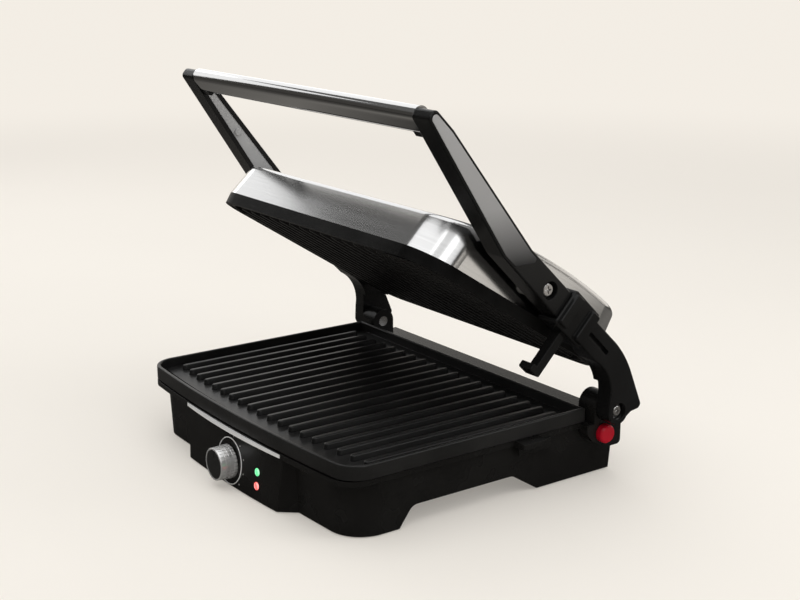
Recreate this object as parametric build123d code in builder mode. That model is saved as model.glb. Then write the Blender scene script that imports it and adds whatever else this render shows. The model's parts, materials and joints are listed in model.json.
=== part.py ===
from build123d import *
import math
import os

os.makedirs("parts", exist_ok=True)

# Electric contact grill with a floating lid, shown with the lid half raised.
# Millimetres.  X runs from the left arm to the right arm, the front faces -Y, and Z = 0 is the table.

# ---- driving dimensions -------------------------------------------------------------------------
# base housing
BODY_HALF_WIDTH = 157.0
BODY_FRONT = -120.0
BODY_REAR = 145.0
BODY_BOW = 4.0
BODY_DRAFT = 3.0
BODY_WALL = 3.0
FLANGE_HALF_WIDTH = 160.0
FLANGE_FRONT = -125.5
FLANGE_REAR = 147.0
FLANGE_BOW = 8.5
FLANGE_BOTTOM = 45.5
FLANGE_TOP = 50.0
MOUTH_HALF_WIDTH = 150.0
MOUTH_FRONT = -114.0
MOUTH_REAR = 97.0
TRIM_BOTTOM = 46.4
TRIM_HEIGHT = 2.8
PANEL_HALF_WIDTH = 72.5
PANEL_SPREAD = 5.5
PANEL_ROOT_HALF_WIDTH = 87.0
PANEL_EDGE_Y = -134.0
PANEL_CENTRE_Y = -136.5
PANEL_LEAN = 4.0
TRIM_HALF_WIDTH = 76.0
TRIM_MIDDLE_Y = -136.4
TRIM_END_Y = -132.6
BODY_FLOOR = 1.0
ARCH_HEIGHT = 18.0
COVER_LOW = 4.0
COVER_SHEET = 2.0
FOOT_PLACES = ((-132, -100), (132, -100), (-132, 122), (132, 122))

# grill plates
PLATE_HALF_WIDTH = 162.0
PLATE_FRONT = -124.5
PLATE_REAR = 107.0
PLATE_BOW = 8.5
PLATE_BOTTOM = 51.2
PLATE_FLOOR = 54.5
PLATE_LIP = 63.0
LIP_THICKNESS = 3.0
RIB_PITCH = 16.2
RIB_COUNT = 19
RIB_WIDTH = 6.4
RIB_HEIGHT = 4.6
RIB_DRAFT = 12.0
REFLECTOR_FLOOR = 39.5
REFLECTOR_SHEET = 1.0
REFLECTOR_RIM_HALF_WIDTH = 154.0
REFLECTOR_HALF_WIDTH = 140.0
REFLECTOR_FRONT = -109.0
REFLECTOR_REAR = 92.0
POST_PLACES = ((-129, -52), (129, -52), (-129, 40), (129, 40))
ELEMENT_RADIUS = 3.3
ELEMENT_Z = 46.6
SCREW_RADIUS = 1.6
GUTTER_DEPTH = 1.6

# hinge, arms and handle
HINGE_Y = 124.0
HINGE_Z = 62.5
ARM_INNER_X = 164.0
ARM_OUTER_X = 184.0
RECESS_X = 178.0
RELIEF_RADIUS = 27.0
BOSS_OUTER_X = 168.5
PIN_RADIUS = 5.0
RUNNING_GAP = 0.05
PIVOT_Y = 45.5
PIVOT_Z = 176.0
ARM_SLOPE = 44.3
ARM_HALF_WIDTH = 11.8
SCREW_RECESS_RADIUS = 7.2
BUSH_RADIUS = 6.5
ARM_TOP_Z = 330.0
ARM_TOP_RADIUS = 4.0
INLAY_LOW = 200.0
INLAY_BORDER = 2.2
COVER_BORDER = 4.0
COVER_LOW_Z = 215.0
COVER_HIGH_Z = 300.0
HANDLE_Y = -60.5
HANDLE_Z = 312.2
HANDLE_ANGLE = -53.0

# lock slider
SLIDER_INNER_X = 166.0
SLIDER_OUTER_X = 186.6
HOOK_INNER_X = 173.5
HOOK_OUTER_X = 182.0
TOE_INNER_X = 168.5
SLIDER_S = 38.0
SLIDER_LENGTH = 36.0
SLIDER_WIDTH = 32.0
PAD_HEIGHT = 3.2
HOOK_WIDTH = 7.6
KEY_SLOT_WIDTH = 4.0
KEY_SLOT_DEPTH = 4.0

# lid, in its own tilted plane: y back from the front bottom edge, z up from that edge
LID_TILT = 32.2
LID_HALF_WIDTH = 158.5
LID_DEPTH = 222.0
LID_CORNER = 32.0
LID_PIVOT_Y = 102.6
LID_PIVOT_Z = 28.7
BEZEL_HEIGHT = 10.0
COVER_TOP = 56.0
COVER_FRONT_LEAN = 11.5
COVER_SIDE_LEAN = 1.5
COVER_CREASE_RADIUS = 5.0
COVER_WALL = 1.2
LEDGE_Z = 7.5
UPPER_FLOOR_Z = 5.0
UPPER_REFLECTOR_Z = 16.0
UPPER_ELEMENT_Z = 11.4
UPPER_POST_PLACES = ((-131, 70), (131, 70), (-131, 150), (131, 150))
PIVOT_BOSS_RADIUS = 9.0
BRACKET_INNER_X = 146.2
BRACKET_THICKNESS = 3.0
LID_SCREW_RADIUS = 4.0

# controls
SHAFT_RADIUS = 3.0
THERMOSTAT_BACK_Y = -111.0
THERMOSTAT_FRONT_Y = -123.0
BUSHING_FRONT_Y = -131.0
SHAFT_BACK_Y = -118.0
SHAFT_LENGTH = 28.0
LED_RADIUS = 2.6
KNOB_Z = 21.0
KNOB_RADIUS = 13.6
KNOB_BACK_Y = -135.0
KNOB_SEAT_Y = -134.6
KNOB_SEAT_RADIUS = 15.5
KNOB_FRONT_Y = -149.6
CAP_RADIUS = 12.2
FLUTE_COUNT = 28
LED_X = 43.0
LED_HEIGHTS = (24.6, 13.0)
LED_FRONTS = (-134.2, -135.2)
BOARD_FRONT_Y = -127.0
BUTTON_Y = 122.5
BUTTON_Z = 40.3
BUTTON_RADIUS = 8.0
BUTTON_INNER_X = 162.0
BUTTON_OUTER_X = 174.5
BUTTON_STEM_RADIUS = 3.0
GUIDE_INNER_X = 146.0
CATCH_FRONT = 34.0
CATCH_REAR = 58.0
CATCH_OUTER_X = 171.6
CATCH_BOTTOM = 44.6
GLAND_X = -105.0
GLAND_Z = 27.0
GLAND_RADIUS = 6.5
GLAND_BORE = 3.5

# ---- shared frames and helpers ------------------------------------------------------------------
tilt = math.radians(LID_TILT)
lid_origin = (
    0,
    PIVOT_Y - LID_PIVOT_Y * math.cos(tilt) - LID_PIVOT_Z * math.sin(tilt),
    PIVOT_Z + LID_PIVOT_Y * math.sin(tilt) - LID_PIVOT_Z * math.cos(tilt),
)
lid_plane = Plane(origin=lid_origin, x_dir=(1, 0, 0), z_dir=(0, math.sin(tilt), math.cos(tilt)))
lid_side = Plane(origin=lid_origin, x_dir=(0, math.cos(tilt), -math.sin(tilt)), z_dir=(1, 0, 0))


def side_plane(x):
    """A plane across the grill at X = x, with Y and Z as its own axes."""
    return Plane(origin=(x, 0, 0), x_dir=(0, 1, 0), z_dir=(1, 0, 0))


def front_plane(y):
    """A plane facing the front at Y = y, with X and Z as its own axes."""
    return Plane(origin=(0, y, 0), x_dir=(1, 0, 0), z_dir=(0, -1, 0))


def along_arm(s, n):
    """Y and Z of a point s down the lower arm from the lid pivot and n towards its rear edge."""
    slope = math.radians(ARM_SLOPE)
    y = PIVOT_Y + s * math.cos(slope) + n * math.sin(slope)
    z = PIVOT_Z - s * math.sin(slope) + n * math.cos(slope)
    return (y, z)


def plan_outline(half_width, front, rear, bow, front_radius, rear_radius):
    """A rounded rectangle seen from above, whose front edge bows outwards."""
    with BuildSketch() as outline:
        with BuildLine():
            Polyline((half_width, front), (half_width, rear), (-half_width, rear), (-half_width, front))
            ThreePointArc((-half_width, front), (0, front - bow), (half_width, front))
        make_face()
        rows = outline.vertices().group_by(Axis.Y)
        fillet(rows[0], front_radius)
        fillet(rows[-1], rear_radius)
    return outline.sketch


def panel_outline(inset, height):
    """The leaning control panel cut across at a height: a shallow bow with slanted flanks."""
    with BuildSketch() as outline:
        with BuildLine():
            rise = (height - BODY_FLOOR) / (FLANGE_BOTTOM - BODY_FLOOR)
            face_half = PANEL_HALF_WIDTH + rise * PANEL_SPREAD - inset
            root_half = PANEL_ROOT_HALF_WIDTH - inset
            root_y = BODY_FRONT + BODY_WALL
            edge_y = PANEL_EDGE_Y + rise * PANEL_LEAN + inset
            centre_y = PANEL_CENTRE_Y + rise * PANEL_LEAN + inset
            Polyline((face_half, edge_y), (root_half, root_y), (-root_half, root_y), (-face_half, edge_y))
            ThreePointArc((-face_half, edge_y), (0, centre_y), (face_half, edge_y))
        make_face()
        fillet(outline.vertices().group_by(Axis.Y)[0], 2.5)
    return outline.sketch


def arch_outline():
    """The long opening under each side of the housing, between its front and rear feet."""
    with BuildSketch() as outline:
        with BuildLine():
            Polyline((-76, -1), (-63, ARCH_HEIGHT), (36, ARCH_HEIGHT), (66, -1), close=True)
        make_face()
        fillet(outline.vertices().group_by(Axis.Y)[-1], 9)
    return outline.sketch


def arm_outline(inset, top_radius):
    """One arm seen from the side, from the rounded top at the handle down to the heel behind the hinge."""
    with BuildSketch() as outline:
        with BuildLine():
            rear_top = along_arm(82, ARM_HALF_WIDTH)
            front_low = along_arm(82, -ARM_HALF_WIDTH)
            Polyline((-1, 208), (-71.5, 315.5), (-65, 322.8), (-48.5, 306), (27, 210), rear_top)
            ThreePointArc(rear_top, (127, 111), (136.5, 94))
            Polyline((136.5, 94), (149.2, 64), (146, 61), (138, 59.8), (133, 56.6))
            ThreePointArc((133, 56.6), (124, 51.2), (113, 60))
            Line((113, 60), (113.6, 74))
            ThreePointArc((113.6, 74), (111.5, 93), front_low)
            Line(front_low, (-1, 208))
        make_face()
        fillet(outline.vertices().group_by(Axis.Y)[0], 3)
        fillet(outline.vertices().group_by(Axis.X)[-1], 3.5)
        if inset:
            offset(amount=-inset, mode=Mode.REPLACE)
        fillet(outline.vertices().sort_by(Axis.Y)[-1], top_radius)
        fillet(outline.vertices().sort_by(Axis.X)[0], top_radius)
    return outline.sketch


def lid_outline(inset, front_lean=0, side_lean=0):
    """The lid's rounded rectangle in its own plane, drawn in by inset, and further in where walls lean."""
    with BuildSketch() as outline:
        with BuildLine():
            half = LID_HALF_WIDTH - side_lean - inset
            front = front_lean + inset
            rear = LID_DEPTH - inset
            Polyline((half, front), (half, rear), (-half, rear), (-half, front), close=True)
        make_face()
        fillet(outline.vertices(), LID_CORNER - inset)
    return outline.sketch


def lid_form(inset):
    """The lid above its bezel: a leaning front and steep walls under a crown highest behind the middle."""
    with BuildPart() as form:
        with BuildSketch(lid_plane.offset(BEZEL_HEIGHT)):
            add(lid_outline(inset))
        with BuildSketch(lid_plane.offset(COVER_TOP)):
            add(lid_outline(inset, COVER_FRONT_LEAN, COVER_SIDE_LEAN))
        loft(ruled=True)
        with BuildSketch(lid_side.offset(-LID_HALF_WIDTH)):
            with BuildLine():
                front_top = (-4, 37.5 - inset)
                rear_top = (LID_DEPTH + 4, 46 - inset)
                Polyline(front_top, (-4, BEZEL_HEIGHT), (LID_DEPTH + 4, BEZEL_HEIGHT), rear_top)
                ThreePointArc(rear_top, (122, 55 - inset), front_top)
            make_face()
        extrude(amount=2 * LID_HALF_WIDTH, mode=Mode.INTERSECT)
        crown = form.faces().sort_by(Axis(lid_origin, lid_plane.z_dir))[-1]
        fillet(crown.edges(), COVER_CREASE_RADIUS - inset)
    return form.part


def arm_pad(inset, top_radius, low, high):
    """The part of the arm's side outline between two heights, with rounded corners."""
    with BuildSketch() as outline:
        add(arm_outline(inset, top_radius))
        with BuildLine():
            Polyline((-200, low), (200, low), (200, high), (-200, high), close=True)
        make_face(mode=Mode.INTERSECT)
        fillet(outline.vertices().group_by(Axis.Y)[0], 2.5)
    return outline.sketch


arm_side = arm_outline(0, ARM_TOP_RADIUS)
inlay_outline = arm_pad(INLAY_BORDER, ARM_TOP_RADIUS - 1, INLAY_LOW, ARM_TOP_Z)
cover_outline = arm_pad(COVER_BORDER, 1, COVER_LOW_Z, COVER_HIGH_Z)

# ---- base: lower housing ------------------------------------------------------------------------
EAR_INNER_X = 149.0
EAR_RADIUS = 12.0
PILLAR_PLACES = ((-147, -90), (147, -90), (-147, 100), (147, 100))
foot_inset = (FLANGE_BOTTOM - BODY_FLOOR) * math.tan(math.radians(BODY_DRAFT))


def body_outline(inset):
    """The foot of the housing's drafted walls, drawn in by inset."""
    drawn_in = foot_inset + inset
    return plan_outline(BODY_HALF_WIDTH - drawn_in, BODY_FRONT + drawn_in, BODY_REAR - drawn_in,
                        BODY_BOW, 28 - inset, 10 - inset)


with BuildPart() as lower_housing:
    with BuildSketch(Plane.XY.offset(BODY_FLOOR)):
        add(body_outline(0))
    extrude(amount=FLANGE_BOTTOM - BODY_FLOOR, taper=-BODY_DRAFT)
    for height in (BODY_FLOOR, FLANGE_BOTTOM):
        with BuildSketch(Plane.XY.offset(height)):
            add(panel_outline(0, height))
    loft(ruled=True)
    with BuildSketch(Plane.XY.offset(FLANGE_BOTTOM)):
        add(plan_outline(FLANGE_HALF_WIDTH, FLANGE_FRONT, FLANGE_REAR, FLANGE_BOW, 22, 12))
    extrude(amount=FLANGE_TOP - FLANGE_BOTTOM)
    # hollow body and hollow panel, open at the bottom, with a floor left under the panel
    with BuildSketch(Plane.XY.offset(BODY_FLOOR)):
        add(body_outline(BODY_WALL))
    extrude(amount=FLANGE_TOP - BODY_WALL - BODY_FLOOR, taper=-BODY_DRAFT, mode=Mode.SUBTRACT)
    for height in (BODY_FLOOR + 2, FLANGE_BOTTOM - 1):
        with BuildSketch(Plane.XY.offset(height)):
            add(panel_outline(BODY_WALL, height))
    loft(ruled=True, mode=Mode.SUBTRACT)
    # mouth in the top deck for the reflector and the element
    with BuildSketch(Plane.XY.offset(FLANGE_TOP)):
        add(plan_outline(MOUTH_HALF_WIDTH, MOUTH_FRONT, MOUTH_REAR, 7, 14, 12))
    extrude(amount=-BODY_WALL, mode=Mode.SUBTRACT)
    # the arch between the feet
    with BuildSketch(side_plane(-FLANGE_HALF_WIDTH)):
        add(arch_outline())
    extrude(amount=2 * FLANGE_HALF_WIDTH, mode=Mode.SUBTRACT)
    # screw pillars in the corners
    with BuildSketch(Plane.XY.offset(COVER_LOW + 1)):
        with Locations(*PILLAR_PLACES):
            Circle(5)
            Circle(1.8, mode=Mode.SUBTRACT)
    extrude(amount=FLANGE_TOP - 2 - COVER_LOW)
    # hinge ears on the rear deck, each over a boss on the side of the body
    for side in (-1, 1):
        with BuildSketch(side_plane(side * EAR_INNER_X)):
            with Locations((HINGE_Y, HINGE_Z)):
                Circle(EAR_RADIUS)
            with Locations((HINGE_Y, (HINGE_Z + FLANGE_TOP) / 2 - 1)):
                Rectangle(2 * EAR_RADIUS, HINGE_Z - FLANGE_TOP + 2)
        extrude(amount=side * (BOSS_OUTER_X - EAR_INNER_X))
        with BuildSketch(side_plane(side * (BODY_HALF_WIDTH - BODY_WALL))) as boss:
            with BuildLine():
                Polyline((104, 49.5), (105, 41), (111, 34.5), (127, 27), (142, 27), (142, 49.5), close=True)
            make_face()
            fillet(boss.vertices().sort_by(Axis.Y)[:4], 4)
        extrude(amount=side * (BOSS_OUTER_X - BODY_HALF_WIDTH + BODY_WALL))
        with BuildSketch(side_plane(side * EAR_INNER_X)):
            with Locations((HINGE_Y, HINGE_Z)):
                Circle(PIN_RADIUS)
        extrude(amount=side * (BOSS_OUTER_X - EAR_INNER_X), mode=Mode.SUBTRACT)
    # guide for the release button, through the right boss
    with BuildSketch(side_plane(GUIDE_INNER_X)):
        with Locations((BUTTON_Y, BUTTON_Z)):
            Circle(BUTTON_RADIUS + 2.5)
    extrude(amount=BODY_HALF_WIDTH - GUIDE_INNER_X)
    with BuildSketch(side_plane(BOSS_OUTER_X)):
        with Locations((BUTTON_Y, BUTTON_Z)):
            Circle(BUTTON_RADIUS + 0.3)
    extrude(amount=GUIDE_INNER_X + 3 - BOSS_OUTER_X, mode=Mode.SUBTRACT)
    with BuildSketch(side_plane(GUIDE_INNER_X)):
        with Locations((BUTTON_Y, BUTTON_Z)):
            Circle(BUTTON_STEM_RADIUS + RUNNING_GAP)
    extrude(amount=4, mode=Mode.SUBTRACT)
    # flat seat behind the knob, holes for its shaft and the lamps, and a hole for the cord gland
    with BuildSketch(front_plane(KNOB_SEAT_Y)):
        with Locations((0, KNOB_Z)):
            Circle(KNOB_SEAT_RADIUS)
    extrude(amount=KNOB_SEAT_Y - PANEL_CENTRE_Y + 1, mode=Mode.SUBTRACT)
    with BuildSketch(front_plane(PANEL_CENTRE_Y - 1)):
        with Locations((0, KNOB_Z)):
            Circle(SHAFT_RADIUS + 0.5)
        with Locations(*[(LED_X, height) for height in LED_HEIGHTS]):
            Circle(LED_RADIUS + 0.05)
    extrude(amount=PANEL_CENTRE_Y - 1 - BOARD_FRONT_Y, mode=Mode.SUBTRACT)
    with BuildSketch(front_plane(BODY_REAR + 3)):
        with Locations((GLAND_X, GLAND_Z)):
            Circle(GLAND_RADIUS)
    extrude(amount=10 + BODY_WALL, mode=Mode.SUBTRACT)
lower_housing.part.label = "lower_housing"
export_step(lower_housing.part, "parts/lower_housing.step")


# ---- base: underside ----------------------------------------------------------------------------
with BuildPart() as bottom_cover:
    with BuildSketch(side_plane(-BODY_HALF_WIDTH)):
        with BuildLine():
            Polyline((-113, COVER_LOW), (-80, COVER_LOW), (-67, ARCH_HEIGHT + 2.5),
                     (40, ARCH_HEIGHT + 2.5), (70, COVER_LOW), (138.5, COVER_LOW))
        trace(line_width=COVER_SHEET)
    extrude(amount=2 * BODY_HALF_WIDTH)
    with BuildSketch(Plane.XY):
        add(body_outline(BODY_WALL + 0.3))
    extrude(amount=ARCH_HEIGHT + 10, mode=Mode.INTERSECT)
    # cooling slots
    with BuildSketch(Plane.XY.offset(ARCH_HEIGHT)):
        with GridLocations(34, 24, 6, 3):
            SlotOverall(22, 3.5)
    extrude(amount=6, mode=Mode.SUBTRACT)
    with BuildSketch(Plane.XY):
        with Locations(*PILLAR_PLACES):
            Circle(2.2)
    extrude(amount=COVER_LOW + 2, mode=Mode.SUBTRACT)
bottom_cover.part.label = "bottom_cover"
export_step(bottom_cover.part, "parts/bottom_cover.step")

with BuildPart() as rubber_feet:
    with BuildSketch(Plane.XY):
        with Locations(*FOOT_PLACES):
            Circle(8)
    extrude(amount=COVER_LOW - 1)
    fillet(rubber_feet.edges().group_by(Axis.Z)[0], 0.8)
rubber_feet.part.label = "rubber_feet"
export_step(rubber_feet.part, "parts/rubber_feet.step")

with BuildPart() as bottom_screws:
    with BuildSketch(Plane.XY.offset(COVER_LOW - 1)):
        with Locations(*PILLAR_PLACES):
            Circle(3.2)
    extrude(amount=-1.6)
    with BuildSketch(Plane.XY.offset(COVER_LOW - 1)):
        with Locations(*PILLAR_PLACES):
            Circle(1.75)
    extrude(amount=14)
bottom_screws.part.label = "bottom_screws"
export_step(bottom_screws.part, "parts/bottom_screws.step")


# ---- base: trim, lamps, catch and gland ---------------------------------------------------------
with BuildPart() as trim_strip:
    with BuildSketch(Plane.XY.offset(TRIM_BOTTOM)):
        with BuildLine():
            Polyline((TRIM_HALF_WIDTH, TRIM_END_Y), (TRIM_HALF_WIDTH, FLANGE_FRONT),
                     (-TRIM_HALF_WIDTH, FLANGE_FRONT), (-TRIM_HALF_WIDTH, TRIM_END_Y))
            ThreePointArc((-TRIM_HALF_WIDTH, TRIM_END_Y), (0, TRIM_MIDDLE_Y), (TRIM_HALF_WIDTH, TRIM_END_Y))
        make_face()
        add(plan_outline(FLANGE_HALF_WIDTH, FLANGE_FRONT, 0, FLANGE_BOW, 22, 2), mode=Mode.SUBTRACT)
    extrude(amount=TRIM_HEIGHT)
trim_strip.part.label = "trim_strip"
export_step(trim_strip.part, "parts/trim_strip.step")


def led_lens(height, front_y):
    """A domed lamp lens that passes through the panel."""
    with BuildPart() as lens:
        with BuildSketch(front_plane(BOARD_FRONT_Y)):
            with Locations((LED_X, height)):
                Circle(LED_RADIUS)
        extrude(amount=BOARD_FRONT_Y - front_y)
        fillet(lens.edges().group_by(Axis.Y)[0], 0.8)
    return lens.part


with BuildPart() as led_green:
    add(led_lens(LED_HEIGHTS[0], LED_FRONTS[0]))
led_green.part.label = "led_green"
export_step(led_green.part, "parts/led_green.step")

with BuildPart() as led_red:
    add(led_lens(LED_HEIGHTS[1], LED_FRONTS[1]))
led_red.part.label = "led_red"
export_step(led_red.part, "parts/led_red.step")

with BuildPart() as lamp_board:
    with BuildSketch(front_plane(BOARD_FRONT_Y)):
        with Locations((LED_X, sum(LED_HEIGHTS) / 2)):
            Rectangle(18, 26)
    extrude(amount=-1.6)
lamp_board.part.label = "lamp_board"
export_step(lamp_board.part, "parts/lamp_board.step")

with BuildPart() as lock_catch:
    with BuildSketch(side_plane(FLANGE_HALF_WIDTH)) as ledge:
        with BuildLine():
            Polyline((CATCH_FRONT, 49.5), (CATCH_FRONT, CATCH_BOTTOM), (CATCH_REAR, CATCH_BOTTOM),
                     (CATCH_REAR, 49.5), close=True)
        make_face()
    extrude(amount=CATCH_OUTER_X - FLANGE_HALF_WIDTH)
    fillet(lock_catch.edges().filter_by(Axis.Z).sort_by(Axis.X)[-2:], 2)
    with BuildSketch(side_plane(FLANGE_HALF_WIDTH)):
        with Locations(((CATCH_FRONT + CATCH_REAR) / 2 + 8, 41)):
            Rectangle(CATCH_REAR - CATCH_FRONT + 10, 9)
    extrude(amount=1.8)
lock_catch.part.label = "lock_catch"
export_step(lock_catch.part, "parts/lock_catch.step")

with BuildPart() as cord_gland:
    with BuildSketch(front_plane(BODY_REAR - 8)):
        with Locations((GLAND_X, GLAND_Z)):
            Circle(GLAND_RADIUS)
    extrude(amount=-10.5)
    with BuildSketch(front_plane(BODY_REAR - 0.4)):
        with Locations((GLAND_X, GLAND_Z)):
            Circle(GLAND_RADIUS + 2.5)
    extrude(amount=-2.9)
    with BuildSketch(front_plane(BODY_REAR - 12)):
        with Locations((GLAND_X, GLAND_Z)):
            Circle(GLAND_BORE)
    extrude(amount=-20, mode=Mode.SUBTRACT)
cord_gland.part.label = "cord_gland"
export_step(cord_gland.part, "parts/cord_gland.step")


# ---- base: heating and control parts inside -----------------------------------------------------
def element_rod(plane, front, rear, half_width):
    """A sheathed heating rod: in at the rear, round the plate and up its middle, and out again."""
    middle = half_width * 0.36
    right = [(16, rear), (16, rear - 26), (half_width, rear - 26), (half_width, front),
             (middle, front), (middle, front + 100)]
    left = [(-x, y) for x, y in reversed(right)]
    with BuildPart() as rod:
        with BuildLine(plane) as path:
            FilletPolyline(*right, *left, radius=14)
        with BuildSketch(Plane(origin=path.line @ 0, z_dir=path.line % 0)):
            Circle(ELEMENT_RADIUS)
        sweep()
    return rod.part


def grill_ribs(plane, rib_ends):
    """A row of drafted ribs with rounded ends and crests, standing on the plane."""
    with BuildPart() as ribs:
        with BuildSketch(plane):
            for index in range(RIB_COUNT):
                x = (index - (RIB_COUNT - 1) / 2) * RIB_PITCH
                front, rear = rib_ends(x)
                with Locations((x, (front + rear) / 2)):
                    SlotOverall(rear - front, RIB_WIDTH, rotation=90)
        extrude(amount=RIB_HEIGHT, taper=RIB_DRAFT)
        crests = ribs.faces().group_by(Axis(plane.origin, plane.z_dir))[-1]
        fillet(crests.edges(), 1.2)
    return ribs.part


with BuildPart() as lower_reflector:
    with BuildSketch(Plane.XY.offset(FLANGE_TOP)):
        add(plan_outline(REFLECTOR_RIM_HALF_WIDTH, MOUTH_FRONT - 3.5, MOUTH_REAR + 3.5, 7, 16, 14))
    extrude(amount=PLATE_BOTTOM - FLANGE_TOP)
    with BuildSketch(Plane.XY.offset(REFLECTOR_FLOOR)):
        add(plan_outline(REFLECTOR_HALF_WIDTH, REFLECTOR_FRONT, REFLECTOR_REAR, 6, 14, 12))
    extrude(amount=FLANGE_TOP - REFLECTOR_FLOOR)
    with BuildSketch(Plane.XY.offset(REFLECTOR_FLOOR + REFLECTOR_SHEET)):
        add(plan_outline(REFLECTOR_HALF_WIDTH - REFLECTOR_SHEET, REFLECTOR_FRONT + REFLECTOR_SHEET,
                         REFLECTOR_REAR - REFLECTOR_SHEET, 6, 13, 11))
    extrude(amount=20, mode=Mode.SUBTRACT)
    with BuildSketch(Plane.XY):
        with Locations(*POST_PLACES):
            Circle(SCREW_RADIUS + 0.4)
    extrude(amount=REFLECTOR_FLOOR + 2, mode=Mode.SUBTRACT)
    with BuildSketch(front_plane(REFLECTOR_REAR - 4)):
        with Locations((-16, ELEMENT_Z), (16, ELEMENT_Z)):
            Circle(ELEMENT_RADIUS)
    extrude(amount=-6, mode=Mode.SUBTRACT)
lower_reflector.part.label = "lower_reflector"
export_step(lower_reflector.part, "parts/lower_reflector.step")

with BuildPart() as lower_element:
    add(element_rod(Plane.XY.offset(ELEMENT_Z), -78, 96, 116))
lower_element.part.label = "lower_element"
export_step(lower_element.part, "parts/lower_element.step")

with BuildPart() as thermostat:
    with BuildSketch(front_plane(THERMOSTAT_BACK_Y)):
        with Locations((0, KNOB_Z)):
            RectangleRounded(28, 26, 2)
    extrude(amount=THERMOSTAT_BACK_Y - THERMOSTAT_FRONT_Y)
    with BuildSketch(front_plane(THERMOSTAT_FRONT_Y)):
        with Locations((0, KNOB_Z)):
            Circle(5)
    extrude(amount=THERMOSTAT_FRONT_Y - BUSHING_FRONT_Y)
    with BuildSketch(front_plane(SHAFT_BACK_Y + 1)):
        with Locations((0, KNOB_Z)):
            Circle(SHAFT_RADIUS + RUNNING_GAP)
    extrude(amount=20, mode=Mode.SUBTRACT)
thermostat.part.label = "thermostat"
export_step(thermostat.part, "parts/thermostat.step")

with BuildPart() as terminal_block:
    with BuildSketch(Plane.XY.offset(FLANGE_TOP - BODY_WALL)):
        with Locations((0, 116)):
            RectangleRounded(52, 18, 2)
    extrude(amount=-13)
    with BuildSketch(Plane.XY.offset(FLANGE_TOP - BODY_WALL - 13)):
        with Locations((0, 116)):
            with GridLocations(12, 1, 4, 1):
                Circle(2.6)
    extrude(amount=9, mode=Mode.SUBTRACT)
terminal_block.part.label = "terminal_block"
export_step(terminal_block.part, "parts/terminal_block.step")

with BuildPart() as lower_thermal_fuse:
    with BuildSketch(Plane.XY.offset(REFLECTOR_FLOOR)):
        with Locations((-60, 20)):
            SlotOverall(26, 9)
    extrude(amount=-4)
lower_thermal_fuse.part.label = "lower_thermal_fuse"
export_step(lower_thermal_fuse.part, "parts/lower_thermal_fuse.step")


# ---- base: lower grill plate --------------------------------------------------------------------
def lower_rib_ends(x):
    """Where a lower rib starts, along the bowed gutter, and where it stops."""
    bow = PLATE_BOW * (1 - (x / FLANGE_HALF_WIDTH) ** 2)
    return (-99.6 - bow, 90)


with BuildPart() as lower_grill_plate:
    with BuildSketch(Plane.XY.offset(PLATE_BOTTOM)):
        add(plan_outline(PLATE_HALF_WIDTH, PLATE_FRONT, PLATE_REAR, PLATE_BOW, 22, 20))
    extrude(amount=PLATE_LIP - PLATE_BOTTOM)
    with BuildSketch(Plane.XY.offset(PLATE_FLOOR)):
        add(plan_outline(PLATE_HALF_WIDTH - LIP_THICKNESS, PLATE_FRONT + LIP_THICKNESS,
                         PLATE_REAR - LIP_THICKNESS, PLATE_BOW, 19, 17))
    extrude(amount=PLATE_LIP - PLATE_FLOOR, mode=Mode.SUBTRACT)
    fillet(lower_grill_plate.edges().group_by(Axis.Z)[-1], 1.2)
    # gutter along the bowed front
    with BuildSketch(Plane.XY.offset(PLATE_FLOOR)):
        add(plan_outline(PLATE_HALF_WIDTH - 4, PLATE_FRONT + 4, PLATE_REAR, PLATE_BOW, 18, 18))
        add(plan_outline(PLATE_HALF_WIDTH, -111, PLATE_REAR + 2, PLATE_BOW, 2, 2), mode=Mode.SUBTRACT)
    extrude(amount=-GUTTER_DEPTH, mode=Mode.SUBTRACT)
    # screw posts down to the floor of the reflector
    with BuildSketch(Plane.XY.offset(PLATE_BOTTOM)):
        with Locations(*POST_PLACES):
            Circle(4.5)
            Circle(SCREW_RADIUS, mode=Mode.SUBTRACT)
    extrude(amount=REFLECTOR_FLOOR + REFLECTOR_SHEET - PLATE_BOTTOM)
lower_grill_plate.part.label = "lower_grill_plate"
export_step(lower_grill_plate.part, "parts/lower_grill_plate.step")

with BuildPart() as lower_plate_ribs:
    add(grill_ribs(Plane.XY.offset(PLATE_FLOOR), lower_rib_ends))
lower_plate_ribs.part.label = "lower_plate_ribs"
export_step(lower_plate_ribs.part, "parts/lower_plate_ribs.step")

with BuildPart() as lower_plate_screws:
    with BuildSketch(Plane.XY.offset(REFLECTOR_FLOOR)):
        with Locations(*POST_PLACES):
            Circle(3.4)
    extrude(amount=-1.6)
    with BuildSketch(Plane.XY.offset(REFLECTOR_FLOOR)):
        with Locations(*POST_PLACES):
            Circle(SCREW_RADIUS)
    extrude(amount=9)
lower_plate_screws.part.label = "lower_plate_screws"
export_step(lower_plate_screws.part, "parts/lower_plate_screws.step")


# ---- base: hinge pins and release spring --------------------------------------------------------
def mirrored_discs(y, z, radius, inner_x, outer_x):
    """A pair of round discs or pins, one on each side of the grill."""
    with BuildPart() as discs:
        for side in (-1, 1):
            with BuildSketch(side_plane(side * inner_x)):
                with Locations((y, z)):
                    Circle(radius)
            extrude(amount=side * (outer_x - inner_x))
    return discs.part


with BuildPart() as hinge_pins:
    add(mirrored_discs(HINGE_Y, HINGE_Z, PIN_RADIUS, EAR_INNER_X, RECESS_X + 0.3))
    add(mirrored_discs(HINGE_Y, HINGE_Z, 2, RECESS_X - 12, RECESS_X + 1), mode=Mode.SUBTRACT)
hinge_pins.part.label = "hinge_pins"
export_step(hinge_pins.part, "parts/hinge_pins.step")

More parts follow.
